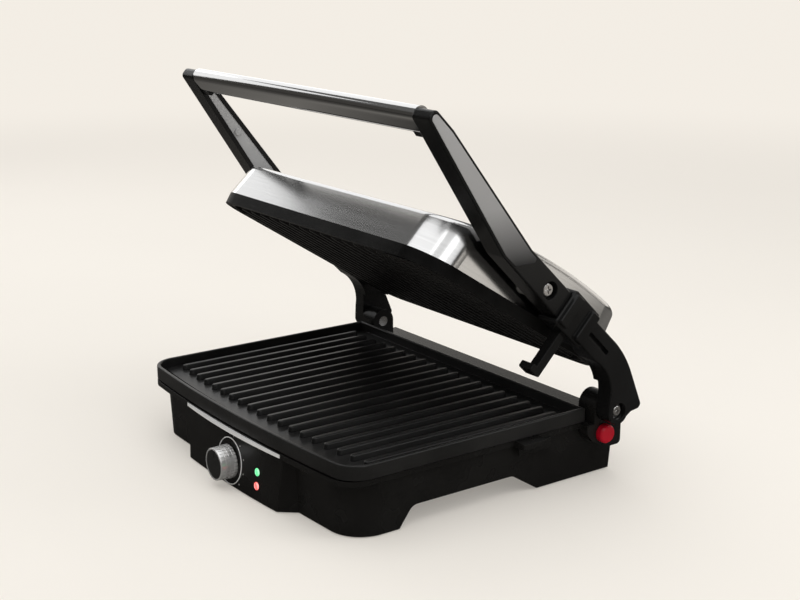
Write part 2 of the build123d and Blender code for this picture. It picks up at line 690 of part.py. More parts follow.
with BuildPart() as hinge_washers:
    add(mirrored_discs(HINGE_Y, HINGE_Z, 6.6, RECESS_X + 0.3, RECESS_X + 1.3))
    add(mirrored_discs(HINGE_Y, HINGE_Z, 2, RECESS_X, RECESS_X + 2), mode=Mode.SUBTRACT)
hinge_washers.part.label = "hinge_washers"
export_step(hinge_washers.part, "parts/hinge_washers.step")

with BuildPart() as hinge_screws:
    add(mirrored_discs(HINGE_Y, HINGE_Z, 4.6, RECESS_X + 1.3, RECESS_X + 3.8))
    fillet(hinge_screws.edges().group_by(Axis.X)[0], 1.2)
    fillet(hinge_screws.edges().group_by(Axis.X)[-1], 1.2)
    add(mirrored_discs(HINGE_Y, HINGE_Z, 2, RECESS_X - 10, RECESS_X + 1.3))
    for side in (-1, 1):
        with BuildSketch(side_plane(side * (RECESS_X + 3.8))):
            with Locations((HINGE_Y, HINGE_Z)):
                Rectangle(5, 1.1)
                Rectangle(1.1, 5)
        extrude(amount=-side * 1.4, mode=Mode.SUBTRACT)
hinge_screws.part.label = "hinge_screws"
export_step(hinge_screws.part, "parts/hinge_screws.step")

with BuildPart() as release_spring:
    with BuildLine(side_plane(GUIDE_INNER_X + 3.7)) as coil:
        Helix(pitch=2.3, height=BUTTON_INNER_X - GUIDE_INNER_X - 4.4, radius=5,
              center=(BUTTON_Y, BUTTON_Z, 0), direction=(1, 0, 0))
    with BuildSketch(Plane(origin=coil.line @ 0, z_dir=coil.line % 0)):
        Circle(0.6)
    sweep()
release_spring.part.label = "release_spring"
export_step(release_spring.part, "parts/release_spring.step")


# ---- arms ---------------------------------------------------------------------------------------
def slide_plane(x):
    """A plane across the lower arm at X = x: s down the arm and n towards its rear edge."""
    slope = math.radians(ARM_SLOPE)
    return Plane(origin=(x, PIVOT_Y, PIVOT_Z), x_dir=(0, math.cos(slope), -math.sin(slope)), z_dir=(1, 0, 0))


def arm_form(side):
    """One arm: a bent moulding with bores for the hinge and the lid, and pockets for its covers."""
    with BuildPart() as form:
        with BuildSketch(side_plane(side * ARM_INNER_X)):
            add(arm_side)
        extrude(amount=side * (ARM_OUTER_X - ARM_INNER_X))
        outer_face = form.faces().sort_by(Axis.X)[-1 if side > 0 else 0]
        fillet(outer_face.edges(), 1.2)
        # relief round the hinge that clears the ear and the boss on the housing
        with BuildSketch(side_plane(side * ARM_INNER_X)):
            with Locations((HINGE_Y, HINGE_Z)):
                Circle(RELIEF_RADIUS)
        extrude(amount=side * (BOSS_OUTER_X + 0.5 - ARM_INNER_X), mode=Mode.SUBTRACT)
        for y, z, radius in ((HINGE_Y, HINGE_Z, PIN_RADIUS + RUNNING_GAP), (PIVOT_Y, PIVOT_Z, BUSH_RADIUS)):
            with BuildSketch(side_plane(side * ARM_INNER_X)):
                with Locations((y, z)):
                    Circle(radius)
            extrude(amount=side * (ARM_OUTER_X - ARM_INNER_X), mode=Mode.SUBTRACT)
            with BuildSketch(side_plane(side * RECESS_X)):
                with Locations((y, z)):
                    Circle(SCREW_RECESS_RADIUS)
            extrude(amount=side * (ARM_OUTER_X - RECESS_X), mode=Mode.SUBTRACT)
        with BuildSketch(side_plane(side * (ARM_OUTER_X - 0.8))):
            add(inlay_outline)
        extrude(amount=side, mode=Mode.SUBTRACT)
        with BuildSketch(side_plane(side * ARM_INNER_X)):
            add(cover_outline)
        extrude(amount=side * 1.5, mode=Mode.SUBTRACT)
    return form.part


def arm_inlay(side):
    """The metal-look inlay in the outer face of the upper arm."""
    with BuildPart() as inlay:
        with BuildSketch(side_plane(side * (ARM_OUTER_X - 0.8))):
            add(inlay_outline)
        extrude(amount=side * 1.1)
        outer_face = inlay.faces().sort_by(Axis.X)[-1 if side > 0 else 0]
        fillet(outer_face.edges(), 0.25)
    return inlay.part


def arm_inner_cover(side):
    """The recessed cover in the inner face of the upper arm, with its round boss."""
    with BuildPart() as cover:
        with BuildSketch(side_plane(side * (ARM_INNER_X + 1.5))):
            add(cover_outline)
        extrude(amount=-side * 0.9)
        with BuildSketch(side_plane(side * (ARM_INNER_X + 0.6))):
            with Locations((-26.3, 263.2)):
                Circle(3.4)
        extrude(amount=-side * 1.6)
    return cover.part


with BuildPart() as right_arm:
    add(arm_form(1))
    with BuildSketch(slide_plane(ARM_OUTER_X)):
        with Locations((59, 0)):
            SlotOverall(58, KEY_SLOT_WIDTH)
    extrude(amount=-KEY_SLOT_DEPTH, mode=Mode.SUBTRACT)
right_arm.part.label = "right_arm"
export_step(right_arm.part, "parts/right_arm.step")

with BuildPart() as left_arm:
    add(arm_form(-1))
left_arm.part.label = "left_arm"
export_step(left_arm.part, "parts/left_arm.step")

with BuildPart() as arm_inlays:
    add(arm_inlay(1))
    add(arm_inlay(-1))
arm_inlays.part.label = "arm_inlays"
export_step(arm_inlays.part, "parts/arm_inlays.step")

with BuildPart() as arm_inner_covers:
    add(arm_inner_cover(1))
    add(arm_inner_cover(-1))
arm_inner_covers.part.label = "arm_inner_covers"
export_step(arm_inner_covers.part, "parts/arm_inner_covers.step")

with BuildPart() as lid_pivot_bushes:
    add(mirrored_discs(PIVOT_Y, PIVOT_Z, BUSH_RADIUS, ARM_INNER_X, RECESS_X))
    add(mirrored_discs(PIVOT_Y, PIVOT_Z, LID_SCREW_RADIUS + RUNNING_GAP, ARM_INNER_X, RECESS_X),
        mode=Mode.SUBTRACT)
lid_pivot_bushes.part.label = "lid_pivot_bushes"
export_step(lid_pivot_bushes.part, "parts/lid_pivot_bushes.step")

# handle
with BuildPart() as handle_bar:
    with BuildSketch(side_plane(-ARM_INNER_X)):
        with Locations((HANDLE_Y, HANDLE_Z)):
            SlotOverall(22, 14, rotation=HANDLE_ANGLE)
            SlotOverall(19, 11, rotation=HANDLE_ANGLE, mode=Mode.SUBTRACT)
    extrude(amount=2 * ARM_INNER_X)
handle_bar.part.label = "handle_bar"
export_step(handle_bar.part, "parts/handle_bar.step")

with BuildPart() as handle_inserts:
    for side in (-1, 1):
        with BuildSketch(side_plane(side * (ARM_INNER_X - 20))):
            with Locations((HANDLE_Y, HANDLE_Z)):
                SlotOverall(19, 11, rotation=HANDLE_ANGLE)
                Circle(2, mode=Mode.SUBTRACT)
        extrude(amount=side * 20)
handle_inserts.part.label = "handle_inserts"
export_step(handle_inserts.part, "parts/handle_inserts.step")

with BuildPart() as handle_end_brackets:
    for side in (-1, 1):
        with BuildSketch(side_plane(side * (ARM_INNER_X - 11))) as bracket:
            with Locations((HANDLE_Y + 2.5, HANDLE_Z - 8.5)):
                Rectangle(8, 7, rotation=HANDLE_ANGLE)
            fillet(bracket.vertices(), 1.5)
            with Locations((HANDLE_Y, HANDLE_Z)):
                SlotOverall(22, 14, rotation=HANDLE_ANGLE, mode=Mode.SUBTRACT)
        extrude(amount=side * 11)
handle_end_brackets.part.label = "handle_end_brackets"
export_step(handle_end_brackets.part, "parts/handle_end_brackets.step")


# ---- lock slider on the right arm ---------------------------------------------------------------
with BuildPart() as lock_slider:
    # plate that wraps the arm
    with BuildSketch(slide_plane(SLIDER_INNER_X)):
        with Locations((SLIDER_S, 0)):
            RectangleRounded(SLIDER_LENGTH, SLIDER_WIDTH, 3)
    extrude(amount=SLIDER_OUTER_X - SLIDER_INNER_X)
    fillet(lock_slider.faces().sort_by(Axis.X)[-1].edges(), 1.2)
    with BuildSketch(slide_plane(SLIDER_INNER_X)):
        with Locations((SLIDER_S, 0)):
            Rectangle(SLIDER_LENGTH + 4, 2 * ARM_HALF_WIDTH + 0.8)
    extrude(amount=ARM_OUTER_X + 0.3 - SLIDER_INNER_X, mode=Mode.SUBTRACT)
    # thumb ridges
    with BuildSketch(slide_plane(SLIDER_OUTER_X)):
        with Locations((SLIDER_S - 11.5, 0), (SLIDER_S + 11.5, 0)):
            RectangleRounded(11, 28, 2.5)
    extrude(amount=PAD_HEIGHT, taper=12)
    fillet(lock_slider.faces().group_by(Axis.X)[-1].edges(), 1)
    # hook down to the catch
    with BuildSketch(slide_plane(HOOK_INNER_X)):
        with Locations((SLIDER_S, -32.5)):
            Rectangle(HOOK_WIDTH, 35)
    extrude(amount=HOOK_OUTER_X - HOOK_INNER_X)
    with BuildSketch(slide_plane(TOE_INNER_X)):
        with Locations((35.9, -52)):
            RectangleRounded(11.8, 6, 1.5)
    extrude(amount=HOOK_OUTER_X - TOE_INNER_X)
    # key that runs in the slot of the arm
    with BuildSketch(slide_plane(ARM_OUTER_X - KEY_SLOT_DEPTH + 1)):
        with Locations((51, 0)):
            SlotOverall(9, KEY_SLOT_WIDTH - 2 * RUNNING_GAP)
    extrude(amount=KEY_SLOT_DEPTH)
lock_slider.part.label = "lock_slider"
export_step(lock_slider.part, "parts/lock_slider.step")


# ---- lid ----------------------------------------------------------------------------------------
with BuildPart() as lid_cover:
    add(lid_form(0))
    add(lid_form(COVER_WALL), mode=Mode.SUBTRACT)
    with BuildSketch(lid_side.offset(-LID_HALF_WIDTH)):
        with Locations((LID_PIVOT_Y, LID_PIVOT_Z)):
            Circle(PIVOT_BOSS_RADIUS + 0.1)
    extrude(amount=2 * LID_HALF_WIDTH, mode=Mode.SUBTRACT)
lid_cover.part.label = "lid_cover"
export_step(lid_cover.part, "parts/lid_cover.step")

with BuildPart() as lid_bezel:
    with BuildSketch(lid_plane):
        add(lid_outline(0))
        add(lid_outline(5), mode=Mode.SUBTRACT)
    extrude(amount=BEZEL_HEIGHT)
    with BuildSketch(lid_plane.offset(LEDGE_Z)):
        add(lid_outline(5))
        add(lid_outline(12), mode=Mode.SUBTRACT)
    extrude(amount=BEZEL_HEIGHT - LEDGE_Z)
lid_bezel.part.label = "lid_bezel"
export_step(lid_bezel.part, "parts/lid_bezel.step")


def upper_rib_ends(x):
    """Where an upper rib starts and stops, on a plane that faces down from the lid."""
    corner = max(0, abs(x) - 130)
    return (-LID_DEPTH + 14 + corner, -14 - corner)


with BuildPart() as upper_grill_plate:
    with BuildSketch(lid_plane.offset(0.6)):
        add(lid_outline(5.4))
    extrude(amount=LEDGE_Z - 0.6)
    with BuildSketch(lid_plane):
        add(lid_outline(5.4 + LIP_THICKNESS))
    extrude(amount=UPPER_FLOOR_Z, mode=Mode.SUBTRACT)
    with BuildSketch(lid_plane.offset(LEDGE_Z)):
        with Locations(*UPPER_POST_PLACES):
            Circle(4.5)
            Circle(SCREW_RADIUS, mode=Mode.SUBTRACT)
    extrude(amount=UPPER_REFLECTOR_Z - LEDGE_Z)
upper_grill_plate.part.label = "upper_grill_plate"
export_step(upper_grill_plate.part, "parts/upper_grill_plate.step")

upper_floor = lid_plane.offset(UPPER_FLOOR_Z)
with BuildPart() as upper_plate_ribs:
    add(grill_ribs(Plane(origin=upper_floor.origin, x_dir=(1, 0, 0), z_dir=-upper_floor.z_dir), upper_rib_ends))
upper_plate_ribs.part.label = "upper_plate_ribs"
export_step(upper_plate_ribs.part, "parts/upper_plate_ribs.step")

with BuildPart() as upper_reflector:
    with BuildSketch(lid_plane.offset(LEDGE_Z + 1)):
        add(lid_outline(14))
    extrude(amount=UPPER_REFLECTOR_Z + 1 - LEDGE_Z - 1)
    with BuildSketch(lid_plane.offset(LEDGE_Z + 1)):
        add(lid_outline(15))
    extrude(amount=UPPER_REFLECTOR_Z - LEDGE_Z - 1, mode=Mode.SUBTRACT)
    with BuildSketch(lid_plane.offset(UPPER_REFLECTOR_Z)):
        with Locations(*UPPER_POST_PLACES):
            Circle(SCREW_RADIUS + 0.4)
    extrude(amount=2, mode=Mode.SUBTRACT)
    with BuildSketch(Plane(origin=lid_plane.from_local_coords((0, LID_DEPTH - 20, UPPER_ELEMENT_Z)),
                           x_dir=(1, 0, 0), z_dir=lid_plane.y_dir)):
        with Locations((-16, 0), (16, 0)):
            Circle(ELEMENT_RADIUS)
    extrude(amount=10, mode=Mode.SUBTRACT)
upper_reflector.part.label = "upper_reflector"
export_step(upper_reflector.part, "parts/upper_reflector.step")

with BuildPart() as upper_element:
    add(element_rod(lid_plane.offset(UPPER_ELEMENT_Z), 36, LID_DEPTH - 12, 114))
upper_element.part.label = "upper_element"
export_step(upper_element.part, "parts/upper_element.step")

with BuildPart() as upper_plate_screws:
    with BuildSketch(lid_plane.offset(UPPER_REFLECTOR_Z + 1)):
        with Locations(*UPPER_POST_PLACES):
            Circle(3.4)
    extrude(amount=1.6)
    with BuildSketch(lid_plane.offset(UPPER_REFLECTOR_Z + 1)):
        with Locations(*UPPER_POST_PLACES):
            Circle(SCREW_RADIUS)
    extrude(amount=-9)
upper_plate_screws.part.label = "upper_plate_screws"
export_step(upper_plate_screws.part, "parts/upper_plate_screws.step")

with BuildPart() as upper_thermal_fuse:
    with BuildSketch(lid_plane.offset(UPPER_REFLECTOR_Z + 1)):
        with Locations((-60, 150)):
            SlotOverall(26, 9)
    extrude(amount=4)
upper_thermal_fuse.part.label = "upper_thermal_fuse"
export_step(upper_thermal_fuse.part, "parts/upper_thermal_fuse.step")

with BuildPart() as lid_pivot_brackets:
    for side in (-1, 1):
        with BuildSketch(lid_side.offset(side * BRACKET_INNER_X)):
            with Locations((LID_PIVOT_Y, 25)):
                Rectangle(38, 30)
        extrude(amount=side * BRACKET_THICKNESS)
    add(mirrored_discs(PIVOT_Y, PIVOT_Z, PIVOT_BOSS_RADIUS, BRACKET_INNER_X, ARM_INNER_X - 0.4))
    add(mirrored_discs(PIVOT_Y, PIVOT_Z, LID_SCREW_RADIUS, BRACKET_INNER_X, ARM_INNER_X), mode=Mode.SUBTRACT)
lid_pivot_brackets.part.label = "lid_pivot_brackets"
export_step(lid_pivot_brackets.part, "parts/lid_pivot_brackets.step")

with BuildPart() as lid_pivot_screws:
    add(mirrored_discs(PIVOT_Y, PIVOT_Z, 5.6, RECESS_X + 0.5, RECESS_X + 3.6))
    fillet(lid_pivot_screws.edges().group_by(Axis.X)[0], 1.4)
    fillet(lid_pivot_screws.edges().group_by(Axis.X)[-1], 1.4)
    add(mirrored_discs(PIVOT_Y, PIVOT_Z, LID_SCREW_RADIUS, BRACKET_INNER_X, RECESS_X + 0.5))
    for side in (-1, 1):
        with BuildSketch(side_plane(side * (RECESS_X + 3.6))):
            with Locations((PIVOT_Y, PIVOT_Z)):
                Rectangle(6, 1.3)
                Rectangle(1.3, 6)
        extrude(amount=-side * 1.6, mode=Mode.SUBTRACT)
lid_pivot_screws.part.label = "lid_pivot_screws"
export_step(lid_pivot_screws.part, "parts/lid_pivot_screws.step")


# ---- release button and knob --------------------------------------------------------------------
with BuildPart() as release_button:
    with BuildSketch(side_plane(BUTTON_INNER_X)):
        with Locations((BUTTON_Y, BUTTON_Z)):
            Circle(BUTTON_RADIUS)
    extrude(amount=BUTTON_OUTER_X - BUTTON_INNER_X)
    fillet(release_button.edges().group_by(Axis.X)[-1], 2.4)
    with BuildSketch(side_plane(BUTTON_INNER_X)):
        with Locations((BUTTON_Y, BUTTON_Z)):
            Circle(BUTTON_STEM_RADIUS)
    extrude(amount=GUIDE_INNER_X - 1.8 - BUTTON_INNER_X)
    # retaining clip behind the guide
    with BuildSketch(side_plane(GUIDE_INNER_X - 0.4)):
        with Locations((BUTTON_Y, BUTTON_Z)):
            Circle(5)
    extrude(amount=-1.4)
release_button.part.label = "release_button"
export_step(release_button.part, "parts/release_button.step")

with BuildPart() as knob:
    with BuildSketch(front_plane(KNOB_BACK_Y)):
        with Locations((0, KNOB_Z)):
            Circle(KNOB_RADIUS + 0.6)
    extrude(amount=KNOB_BACK_Y - KNOB_FRONT_Y, taper=2.4)
    fillet(knob.edges().group_by(Axis.Y)[0], 0.5)
    # ring grooves and flutes that make the faceted rim
    with BuildSketch(side_plane(0)):
        with Locations((-138, KNOB_Z + KNOB_RADIUS + 0.6), (-141.5, KNOB_Z + KNOB_RADIUS + 0.5),
                       (-145, KNOB_Z + KNOB_RADIUS + 0.3)):
            Rectangle(0.9, 1.4)
    revolve(axis=Axis((0, 0, KNOB_Z), (0, 1, 0)), mode=Mode.SUBTRACT)
    with BuildSketch(front_plane(KNOB_BACK_Y)):
        with Locations((0, KNOB_Z)):
            with PolarLocations(KNOB_RADIUS + 0.6, FLUTE_COUNT):
                Rectangle(1.6, 0.9)
    extrude(amount=KNOB_BACK_Y - KNOB_FRONT_Y - 1.2, mode=Mode.SUBTRACT)
    # seat of the cap, and bore of the shaft
    with BuildSketch(front_plane(KNOB_FRONT_Y + 1.2)):
        with Locations((0, KNOB_Z)):
            Circle(CAP_RADIUS)
    extrude(amount=2, mode=Mode.SUBTRACT)
    with BuildSketch(front_plane(KNOB_BACK_Y)):
        with Locations((0, KNOB_Z)):
            Circle(SHAFT_RADIUS)
    extrude(amount=11, mode=Mode.SUBTRACT)
knob.part.label = "knob"
export_step(knob.part, "parts/knob.step")

with BuildPart() as knob_cap:
    with BuildSketch(front_plane(KNOB_FRONT_Y + 1.2)):
        with Locations((0, KNOB_Z)):
            Circle(CAP_RADIUS)
    extrude(amount=0.9)
    fillet(knob_cap.edges().group_by(Axis.Y)[0], 0.4)
    with BuildSketch(front_plane(KNOB_FRONT_Y + 0.3)):
        with Locations((0, KNOB_Z + 8.4)):
            SlotOverall(6, 1.2, rotation=90)
    extrude(amount=0.3)
knob_cap.part.label = "knob_cap"
export_step(knob_cap.part, "parts/knob_cap.step")

with BuildPart() as thermostat_shaft:
    with BuildSketch(front_plane(SHAFT_BACK_Y)):
        with Locations((0, KNOB_Z)):
            Circle(SHAFT_RADIUS)
    extrude(amount=SHAFT_LENGTH)
thermostat_shaft.part.label = "thermostat_shaft"
export_step(thermostat_shaft.part, "parts/thermostat_shaft.step")
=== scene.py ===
import json
import math

import bpy
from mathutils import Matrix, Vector


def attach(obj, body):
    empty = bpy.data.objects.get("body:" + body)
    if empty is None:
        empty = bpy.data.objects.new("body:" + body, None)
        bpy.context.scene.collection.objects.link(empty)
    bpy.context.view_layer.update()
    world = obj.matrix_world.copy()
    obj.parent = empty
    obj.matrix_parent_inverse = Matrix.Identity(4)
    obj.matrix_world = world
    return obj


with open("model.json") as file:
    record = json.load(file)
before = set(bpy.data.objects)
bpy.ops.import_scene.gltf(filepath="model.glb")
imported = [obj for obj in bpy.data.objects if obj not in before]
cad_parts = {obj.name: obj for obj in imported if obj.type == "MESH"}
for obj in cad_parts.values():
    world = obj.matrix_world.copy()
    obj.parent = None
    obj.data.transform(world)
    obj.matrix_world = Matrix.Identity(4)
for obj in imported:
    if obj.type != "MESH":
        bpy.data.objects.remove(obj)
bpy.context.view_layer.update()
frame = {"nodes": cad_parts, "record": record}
scene = bpy.context.scene
nodes = frame["nodes"]


# ---- shader helpers -----------------------------------------------------------------------------
def new_material(name):
    """A node material, its tree, its Principled shader and the object's own coordinates."""
    mat = bpy.data.materials.new(name)
    mat.use_nodes = True
    tree = mat.node_tree
    shader = tree.nodes["Principled BSDF"]
    coords = tree.nodes.new("ShaderNodeTexCoord")
    return mat, tree, shader, coords.outputs["Object"]


def noise(tree, place, scale, detail=3.0, stretch=(1, 1, 1), turn=(0, 0, 0)):
    """A noise texture on the object's own coordinates, turned and then drawn out along its axes."""
    mapping = tree.nodes.new("ShaderNodeMapping")
    mapping.vector_type = "TEXTURE"
    mapping.inputs["Scale"].default_value = [1 / amount for amount in stretch]
    mapping.inputs["Rotation"].default_value = turn
    tree.links.new(place, mapping.inputs["Vector"])
    texture = tree.nodes.new("ShaderNodeTexNoise")
    texture.inputs["Scale"].default_value = scale
    texture.inputs["Detail"].default_value = detail
    tree.links.new(mapping.outputs["Vector"], texture.inputs["Vector"])
    return texture.outputs["Fac"]


def ramp(tree, source, *stops):
    """A colour ramp through stops of a position and a colour, driven by a value."""
    node = tree.nodes.new("ShaderNodeValToRGB")
    marks = node.color_ramp.elements
    for mark, (position, colour) in zip((marks[0], marks[1]), (stops[0], stops[-1])):
        mark.position = position
        mark.color = (*colour, 1)
    for position, colour in stops[1:-1]:
        marks.new(position).color = (*colour, 1)
    tree.links.new(source, node.inputs["Fac"])
    return node.outputs["Color"]


def two_tone(tree, source, dark, light, start=0.35, end=0.65):
    """A colour between two tones, over the middle of a texture's range."""
    return ramp(tree, source, (start, dark), (end, light))


def map_range(tree, source, ends, low=0.0, high=1.0, smooth=False):
    """A value whose range between two ends is mapped to low..high."""
    node = tree.nodes.new("ShaderNodeMapRange")
    if smooth:
        node.interpolation_type = "SMOOTHSTEP"
    node.inputs["From Min"].default_value = ends[0]
    node.inputs["From Max"].default_value = ends[1]
    node.inputs["To Min"].default_value = low
    node.inputs["To Max"].default_value = high
    tree.links.new(source, node.inputs["Value"])
    return node.outputs["Result"]


def spread(tree, source, low, high):
    """A value mapped from 0..1 to low..high."""
    return map_range(tree, source, (0.0, 1.0), low, high)


def combine(tree, operation, first, second):
    """Two values put together by one operation of a math node."""
    node = tree.nodes.new("ShaderNodeMath")
    node.operation = operation
    tree.links.new(first, node.inputs[0])
    tree.links.new(second, node.inputs[1])
    return node.outputs["Value"]


def distance_from(tree, place, centre):
    """The distance of a place from a centre."""
    node = tree.nodes.new("ShaderNodeVectorMath")
    node.operation = "DISTANCE"
    node.inputs[1].default_value = centre
    tree.links.new(place, node.inputs[0])
    return node.outputs["Value"]


def axes(tree, place):
    """The X, Y and Z of a place, as sockets by name."""
    node = tree.nodes.new("ShaderNodeSeparateXYZ")
    tree.links.new(place, node.inputs["Vector"])
    return node.outputs


def ray_kinds(tree):
    """The kinds of light path, as sockets by name."""
    return tree.nodes.new("ShaderNodeLightPath").outputs


def bump(tree, shader, source, strength, distance=0.0004, edge_radius=0.0):
    """Fine relief driven by a texture, over edges that catch the light where a radius is given."""
    node = tree.nodes.new("ShaderNodeBump")
    node.inputs["Strength"].default_value = strength
    node.inputs["Distance"].default_value = distance
    tree.links.new(source, node.inputs["Height"])
    if edge_radius:
        soft_edge = tree.nodes.new("ShaderNodeBevel")
        soft_edge.samples = 4
        soft_edge.inputs["Radius"].default_value = edge_radius
        tree.links.new(soft_edge.outputs["Normal"], node.inputs["Normal"])
    tree.links.new(node.outputs["Normal"], shader.inputs["Normal"])


# ---- materials ----------------------------------------------------------------------------------
def grey(level):
    """A neutral colour of one level."""
    return (level, level, level)


def plastic(name, dark, light, rough, grain=900, relief=0.12, specular=0.22, coat=0.0,
            drawn=(1, 1, 1), edge_radius=0.0):
    """Moulded plastic or coating: faint mottling, uneven sheen and a fine grain."""
    mat, tree, shader, place = new_material(name)
    clouds = noise(tree, place, 22)
    fine = noise(tree, place, grain, 2.0, drawn)
    tree.links.new(two_tone(tree, clouds, dark, light), shader.inputs["Base Color"])
    tree.links.new(spread(tree, clouds, rough - 0.05, rough + 0.06), shader.inputs["Roughness"])
    shader.inputs["Specular IOR Level"].default_value = specular
    shader.inputs["Coat Weight"].default_value = coat
    shader.inputs["Coat Roughness"].default_value = 0.05
    bump(tree, shader, fine, relief, edge_radius=edge_radius)
    return mat


def metal(name, dark, light, rough, stretch=(1, 1, 1), turn=(0, 0, 0), grain=60, relief=0.05,
          play=0.05, metallic=1.0):
    """Metal with streaks along one direction, or an even fine grain."""
    mat, tree, shader, place = new_material(name)
    streaks = noise(tree, place, grain, 2.0, stretch, turn)
    tree.links.new(two_tone(tree, streaks, dark, light, 0.3, 0.7), shader.inputs["Base Color"])
    tree.links.new(spread(tree, streaks, rough - play, rough + play), shader.inputs["Roughness"])
    shader.inputs["Metallic"].default_value = metallic
    bump(tree, shader, streaks, relief, 0.0002)
    return mat


def lamp(name, colour, glow):
    """A lit lamp lens: a pale core that falls off to the lens's own colour."""
    mat, tree, shader, place = new_material(name)
    grain = noise(tree, place, 400)
    brighter = tuple(min(1, part * 1.2 + 0.05) for part in colour)
    tree.links.new(two_tone(tree, grain, colour, brighter), shader.inputs["Base Color"])
    facing = tree.nodes.new("ShaderNodeLayerWeight")
    facing.inputs["Blend"].default_value = 0.35
    pale = tuple(0.55 * part + 0.45 for part in colour)
    core = two_tone(tree, facing.outputs["Facing"], pale, colour, 0.1, 0.55)
    tree.links.new(core, shader.inputs["Emission Color"])
    shader.inputs["Emission Strength"].default_value = glow
    shader.inputs["Roughness"].default_value = 0.15
    return mat


INLAY_DARK_Z = 0.200
INLAY_BRIGHT_Z = 0.300


def inlay_material():
    """Satin grey sheet on the arms that darkens towards its lower end."""
    mat, tree, shader, place = new_material("inlay_grey")
    grain = noise(tree, place, 500, 4.0)
    height = map_range(tree, axes(tree, place)["Z"], (INLAY_DARK_Z, INLAY_BRIGHT_Z))
    tone = ramp(tree, height, (0.0, (0.03, 0.03, 0.0305)), (0.45, (0.43, 0.43, 0.435)),
                (1.0, (0.48, 0.48, 0.485)))
    tree.links.new(tone, shader.inputs["Base Color"])
    tree.links.new(spread(tree, grain, 0.36, 0.46), shader.inputs["Roughness"])
    shader.inputs["Metallic"].default_value = 0.5
    bump(tree, shader, grain, 0.05)
    return mat


LID_TILT = math.radians(32.2)
ALONG_X = (0.02, 1, 1)
BRUSHED = (0.012, 0.02, 1)
HATCHED = (1, 1, 0.03)

materials = {
    "black_plastic": plastic("black_plastic", (0.0075, 0.0072, 0.0068), (0.0105, 0.0101, 0.0096), 0.26,
                             edge_radius=0.0006),
    "arm_plastic": plastic("arm_plastic", grey(0.005), grey(0.008), 0.20, edge_radius=0.0008),
    "dark_plastic": plastic("dark_plastic", grey(0.016), (0.024, 0.024, 0.023), 0.5),
    "inner_plastic": plastic("inner_plastic", (0.09, 0.085, 0.08), (0.14, 0.13, 0.12), 0.55),
    "rubber": plastic("rubber", grey(0.012), grey(0.02), 0.7),
    "nonstick_iron": plastic("nonstick_iron", (0.010, 0.0098, 0.0095), (0.016, 0.0156, 0.0152), 0.34,
                             grain=420, relief=0.25, specular=0.35, edge_radius=0.0009),
    "screw_steel": metal("screw_steel", (0.50, 0.49, 0.48), (0.66, 0.65, 0.64), 0.22, grain=220),
    "element_steel": metal("element_steel", (0.20, 0.18, 0.17), (0.34, 0.31, 0.29), 0.4, grain=160),
    "trim_chrome": metal("trim_chrome", grey(0.84), grey(0.92), 0.30, ALONG_X, metallic=0.2),
    "handle_chrome": metal("handle_chrome", grey(0.66), grey(0.72), 0.07, ALONG_X, grain=200,
                           relief=0.004, play=0.02),
    "brushed_lid": metal("brushed_lid", grey(0.67), grey(0.73), 0.155, BRUSHED, (-LID_TILT, 0, 0),
                         grain=700, relief=0.002, play=0.01),
    "reflector_aluminium": metal("reflector_aluminium", (0.66, 0.66, 0.67), (0.78, 0.78, 0.79), 0.3,
                                 grain=30),
    "inlay_grey": inlay_material(),
    "lens_green": lamp("lens_green", (0.04, 0.60, 0.20), 1.0),
    "lens_red": lamp("lens_red", (0.80, 0.05, 0.035), 1.1),
    "button_red": plastic("button_red", (0.31, 0.002, 0.010), (0.40, 0.004, 0.016), 0.22, relief=0.02,
                          specular=0.3),
    "knob_metal": metal("knob_metal", grey(0.80), grey(0.90), 0.18, grain=240, metallic=0.7),
    "knob_black": plastic("knob_black", grey(0.008), grey(0.013), 0.22, coat=0.3),
}
# two nodes get their own material: the bezel a fine hatch, and the inner covers a plain grey, paler
# than the rest of their material, with painted light for inward faces that get little light
hatch_and_painted_light_looks = {
    "lid_bezel": plastic("bezel_hatch", grey(0.003), (0.010, 0.010, 0.0097), 0.32, grain=1400,
                         relief=0.35, specular=0.04, drawn=HATCHED),
    # painted light: the inner covers' grey is made paler so that their shaded inward faces look lit
    "arm_inner_covers": plastic("inner_cover_grey_with_painted_light", grey(0.34), grey(0.42), 0.4, specular=0.4,
                                edge_radius=0.0008),
}
for subpart in frame["record"]["subparts"]:
    name = subpart["node"]
    node = nodes[name]
    node.data.materials.clear()
    node.data.materials.append(hatch_and_painted_light_looks.get(name, materials[subpart["material_slot"]]))


# ---- pieces of the scene: dial ring, dial marks and lamp rims, in millimetres --------------------
MM = 0.001
PANEL_FOOT_Y = -136.5
PANEL_FOOT_Z = 1.0
PANEL_HEIGHT = 44.5
PANEL_LEAN = 4.0
PANEL_HALF_WIDTH = 75.0
PANEL_BOW = 2.5
KNOB_Z = 21.0
DIAL_RADIUS = 19.3
DIAL_WIRE = 0.45
MARKS_RADIUS = 22.2
STROKE = (3.0, 0.8)
DOT = (1.1, 1.1)
MARKS = ((96, STROKE), (78, STROKE), (48, DOT), (18, DOT), (-12, DOT), (-42, DOT))
LAMP_X = 43.0
GREEN_LAMP_Z = 24.6
RED_LAMP_Z = 13.0
LAMP_RIM_RADIUS = 3.0
LAMP_RIM_WIRE = 0.28
RING_POINTS = 72
PRINT_PROUD = 0.06
PRINT_THICKNESS = 0.08


def on_panel(x, z, proud=0.0):
    """A point on the bowed and leaning control panel, from millimetres to metres."""
    lean = PANEL_LEAN * (z - PANEL_FOOT_Z) / PANEL_HEIGHT
    bow = PANEL_BOW * (x / PANEL_HALF_WIDTH) ** 2
    return (x * MM, (PANEL_FOOT_Y + lean + bow - proud) * MM, z * MM)


